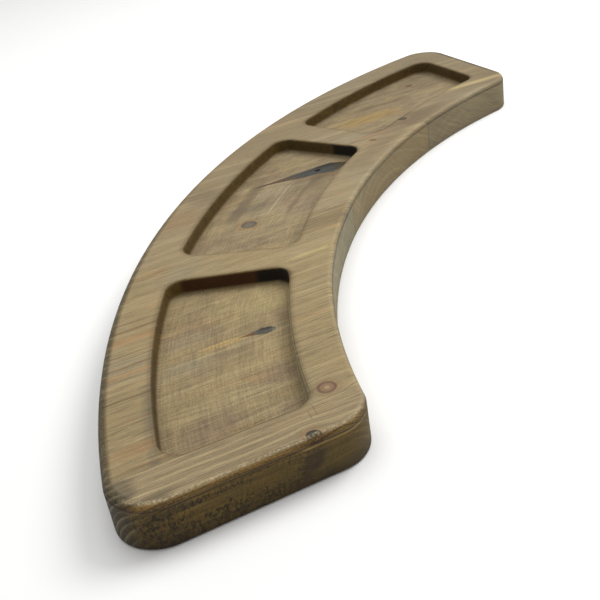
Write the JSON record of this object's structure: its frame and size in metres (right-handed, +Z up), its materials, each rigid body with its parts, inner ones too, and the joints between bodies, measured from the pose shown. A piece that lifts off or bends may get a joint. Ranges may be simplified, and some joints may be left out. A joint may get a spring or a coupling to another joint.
{
  "type": "balance board",
  "caption": "Flat arc-shaped board of edge-glued solid pine with shallow rounded pockets routed side by side into its top.",
  "frame": {"origin": "on the underside, on the board's line of symmetry, half-way between the inner and outer arcs", "axes": "+Z up, away from the underside; +Y from the inner (hollow) edge to the outer (bulging) edge; X along the board's length, with the end whose face is parallel to the grain at -X"},
  "size_m": [0.8156, 0.2527, 0.034],
  "materials": {
    "pine": "grey-brown stain with a dull sheen"
  },
  "bodies": {
    "root": {"stave_1": "pine", "stave_2": "pine", "stave_3": "pine", "stave_4": "pine", "stave_5": "pine", "stave_6": "pine"}
  },
  "joints": []
}
